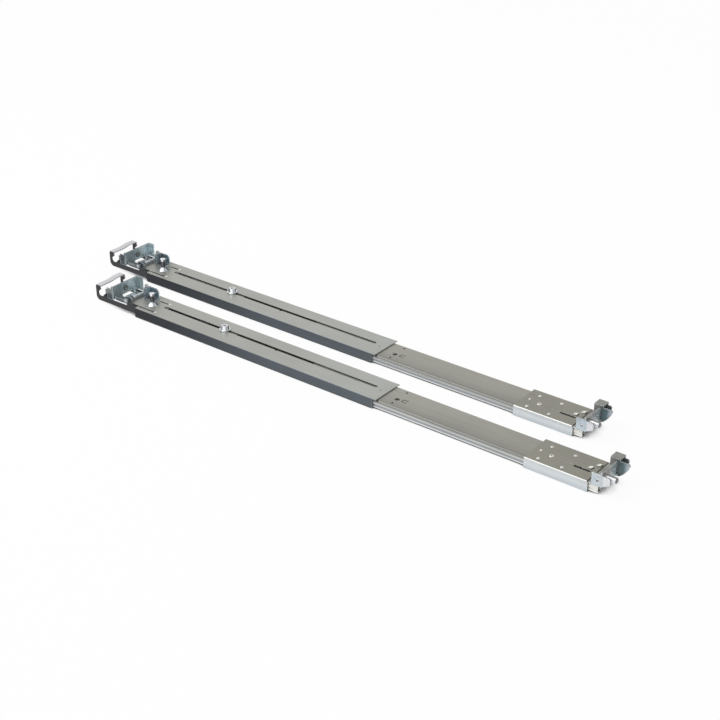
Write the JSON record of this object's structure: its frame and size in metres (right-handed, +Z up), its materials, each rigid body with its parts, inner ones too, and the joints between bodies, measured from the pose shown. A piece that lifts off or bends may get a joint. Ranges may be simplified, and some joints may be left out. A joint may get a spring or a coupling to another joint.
{
  "type": "server rail",
  "caption": "Pair of telescopic ball-bearing server rails with a sliding rear section, slotted for depth, and sprung brackets that seat in rack posts.",
  "frame": {"origin": "middle of the pair's bounding box, at the height of the surface it lies on", "axes": "+X along the rails toward the front rack post, +Y across the rails, +Z up, away from the server"},
  "size_m": [0.7738, 0.1246, 0.0288],
  "materials": {
    "slide_steel": "roll-formed steel, satin",
    "cover_steel": "pressed steel, satin",
    "rear_steel": "pressed steel, satin",
    "zinc_plate": "clear bluish zinc plating",
    "latch_zinc": "clear zinc plating",
    "dark_strap": "dark satin coat",
    "rivet_steel": "satin",
    "bright_steel": "bright nickel",
    "ball_steel": "polished",
    "cage_steel": "plain strip",
    "spring_steel": "dark drawn wire",
    "bumper_rubber": "soft black"
  },
  "bodies": {
    "fixed_front": {"front_section_a": "slide_steel", "front_cover_plate_a": "cover_steel", "front_bracket_a": "zinc_plate", "front_rivets_a": "rivet_steel", "front_latch_pin_a": "rivet_steel", "front_latch_spring_a": "spring_steel", "guide_bolt_a": "bright_steel", "stop_bumper_a": "bumper_rubber", "front_section_b": "slide_steel", "front_cover_plate_b": "cover_steel", "front_bracket_b": "zinc_plate", "front_rivets_b": "rivet_steel", "front_latch_pin_b": "rivet_steel", "front_latch_spring_b": "spring_steel", "guide_bolt_b": "bright_steel", "stop_bumper_b": "bumper_rubber"},
    "rear_adjuster_a": {"rear_section_a": "rear_steel", "rear_bracket_a": "zinc_plate", "rear_rivets_a": "bright_steel", "rear_pins_a": "zinc_plate", "tail_bail_a": "dark_strap", "rear_latch_guard_a": "zinc_plate", "rear_release_bush_a": "bright_steel", "rear_release_spring_a": "spring_steel", "rear_latch_spring_a": "spring_steel"},
    "rear_latch_a": {"rear_latch_hook_a": "zinc_plate", "rear_latch_shaft_a": "zinc_plate", "rear_latch_knob_a": "zinc_plate"},
    "rear_plunger_a": {"rear_release_a": "bright_steel"},
    "outer_cage_a": {"outer_ball_cage_a": "cage_steel", "outer_balls_a": "ball_steel"},
    "middle_slide_a": {"intermediate_member_a": "slide_steel"},
    "inner_cage_a": {"inner_ball_cage_a": "cage_steel", "inner_balls_a": "ball_steel"},
    "inner_slide_a": {"inner_member_a": "slide_steel", "lock_pin_a": "rivet_steel"},
    "release_lever_a": {"lock_lever_a": "spring_steel"},
    "front_catch_a": {"front_latch_a": "latch_zinc"},
    "rear_adjuster_b": {"rear_section_b": "rear_steel", "rear_bracket_b": "zinc_plate", "rear_rivets_b": "bright_steel", "rear_pins_b": "zinc_plate", "tail_bail_b": "dark_strap", "rear_latch_guard_b": "zinc_plate", "rear_release_bush_b": "bright_steel", "rear_release_spring_b": "spring_steel", "rear_latch_spring_b": "spring_steel"},
    "rear_latch_b": {"rear_latch_hook_b": "zinc_plate", "rear_latch_shaft_b": "zinc_plate", "rear_latch_knob_b": "zinc_plate"},
    "rear_plunger_b": {"rear_release_b": "bright_steel"},
    "outer_cage_b": {"outer_ball_cage_b": "cage_steel", "outer_balls_b": "ball_steel"},
    "middle_slide_b": {"intermediate_member_b": "slide_steel"},
    "inner_cage_b": {"inner_ball_cage_b": "cage_steel", "inner_balls_b": "ball_steel"},
    "inner_slide_b": {"inner_member_b": "slide_steel", "lock_pin_b": "rivet_steel"},
    "release_lever_b": {"lock_lever_b": "spring_steel"},
    "front_catch_b": {"front_latch_b": "latch_zinc"}
  },
  "joints": [
    {"name": "rear_adjust_a", "type": "slide", "parent": "fixed_front", "child": "rear_adjuster_a", "axis": [1, 0, 0], "range_m": [-0.205, 0.08]},
    {"name": "rear_latch_turn_a", "type": "hinge", "parent": "rear_adjuster_a", "child": "rear_latch_a", "pos_m": [-0.33745, 0.0403, 0.0153], "axis": [0, -1, 0], "range_deg": [0, 12], "stiffness_Nm_per_rad": 0.05, "springref_deg": -5.73, "deforming": ["rear_latch_spring_a"]},
    {"name": "rear_release_press_a", "type": "slide", "parent": "rear_adjuster_a", "child": "rear_plunger_a", "axis": [0, 0, -1], "range_m": [0, 0.003], "stiffness_N_per_m": 400, "springref_m": -0.002, "deforming": ["rear_release_spring_a"]},
    {"name": "middle_extend_a", "type": "slide", "parent": "fixed_front", "child": "middle_slide_a", "axis": [1, 0, 0], "range_m": [0, 0.25]},
    {"name": "outer_cage_roll_a", "type": "slide", "parent": "fixed_front", "child": "outer_cage_a", "axis": [1, 0, 0], "range_m": [0, 0.125]},
    {"name": "inner_extend_a", "type": "slide", "parent": "middle_slide_a", "child": "inner_slide_a", "axis": [1, 0, 0], "range_m": [0, 0.25]},
    {"name": "inner_cage_roll_a", "type": "slide", "parent": "middle_slide_a", "child": "inner_cage_a", "axis": [1, 0, 0], "range_m": [0, 0.125]},
    {"name": "lock_lever_turn_a", "type": "hinge", "parent": "inner_slide_a", "child": "release_lever_a", "pos_m": [0.24255, 0.0403, 0.0012], "axis": [0, 0, 1], "range_deg": [-4, 4], "stiffness_Nm_per_rad": 0.02},
    {"name": "front_latch_turn_a", "type": "hinge", "parent": "fixed_front", "child": "front_catch_a", "pos_m": [0.30615, 0.0403, 0.0168], "axis": [0, -1, 0], "range_deg": [0, 20], "stiffness_Nm_per_rad": 0.04, "springref_deg": -11.46},
    {"name": "rear_adjust_b", "type": "slide", "parent": "fixed_front", "child": "rear_adjuster_b", "axis": [1, 0, 0], "range_m": [-0.205, 0.08]},
    {"name": "rear_latch_turn_b", "type": "hinge", "parent": "rear_adjuster_b", "child": "rear_latch_b", "pos_m": [-0.27485, -0.0403, 0.0153], "axis": [0, -1, 0], "range_deg": [0, 12], "stiffness_Nm_per_rad": 0.05, "springref_deg": -5.73, "deforming": ["rear_latch_spring_b"]},
    {"name": "rear_release_press_b", "type": "slide", "parent": "rear_adjuster_b", "child": "rear_plunger_b", "axis": [0, 0, -1], "range_m": [0, 0.003], "stiffness_N_per_m": 400, "springref_m": -0.002, "deforming": ["rear_release_spring_b"]},
    {"name": "middle_extend_b", "type": "slide", "parent": "fixed_front", "child": "middle_slide_b", "axis": [1, 0, 0], "range_m": [0, 0.25]},
    {"name": "outer_cage_roll_b", "type": "slide", "parent": "fixed_front", "child": "outer_cage_b", "axis": [1, 0, 0], "range_m": [0, 0.125]},
    {"name": "inner_extend_b", "type": "slide", "parent": "middle_slide_b", "child": "inner_slide_b", "axis": [1, 0, 0], "range_m": [0, 0.25]},
    {"name": "inner_cage_roll_b", "type": "slide", "parent": "middle_slide_b", "child": "inner_cage_b", "axis": [1, 0, 0], "range_m": [0, 0.125]},
    {"name": "lock_lever_turn_b", "type": "hinge", "parent": "inner_slide_b", "child": "release_lever_b", "pos_m": [0.30515, -0.0403, 0.0012], "axis": [0, 0, 1], "range_deg": [-4, 4], "stiffness_Nm_per_rad": 0.02},
    {"name": "front_latch_turn_b", "type": "hinge", "parent": "fixed_front", "child": "front_catch_b", "pos_m": [0.36875, -0.0403, 0.0168], "axis": [0, -1, 0], "range_deg": [0, 20], "stiffness_Nm_per_rad": 0.04, "springref_deg": -11.46}
  ],
  "couplings": [
    {"joint": "outer_cage_roll_a", "follows": "middle_extend_a", "ratio": 0.5},
    {"joint": "inner_cage_roll_a", "follows": "inner_extend_a", "ratio": 0.5},
    {"joint": "outer_cage_roll_b", "follows": "middle_extend_b", "ratio": 0.5},
    {"joint": "inner_cage_roll_b", "follows": "inner_extend_b", "ratio": 0.5}
  ]
}
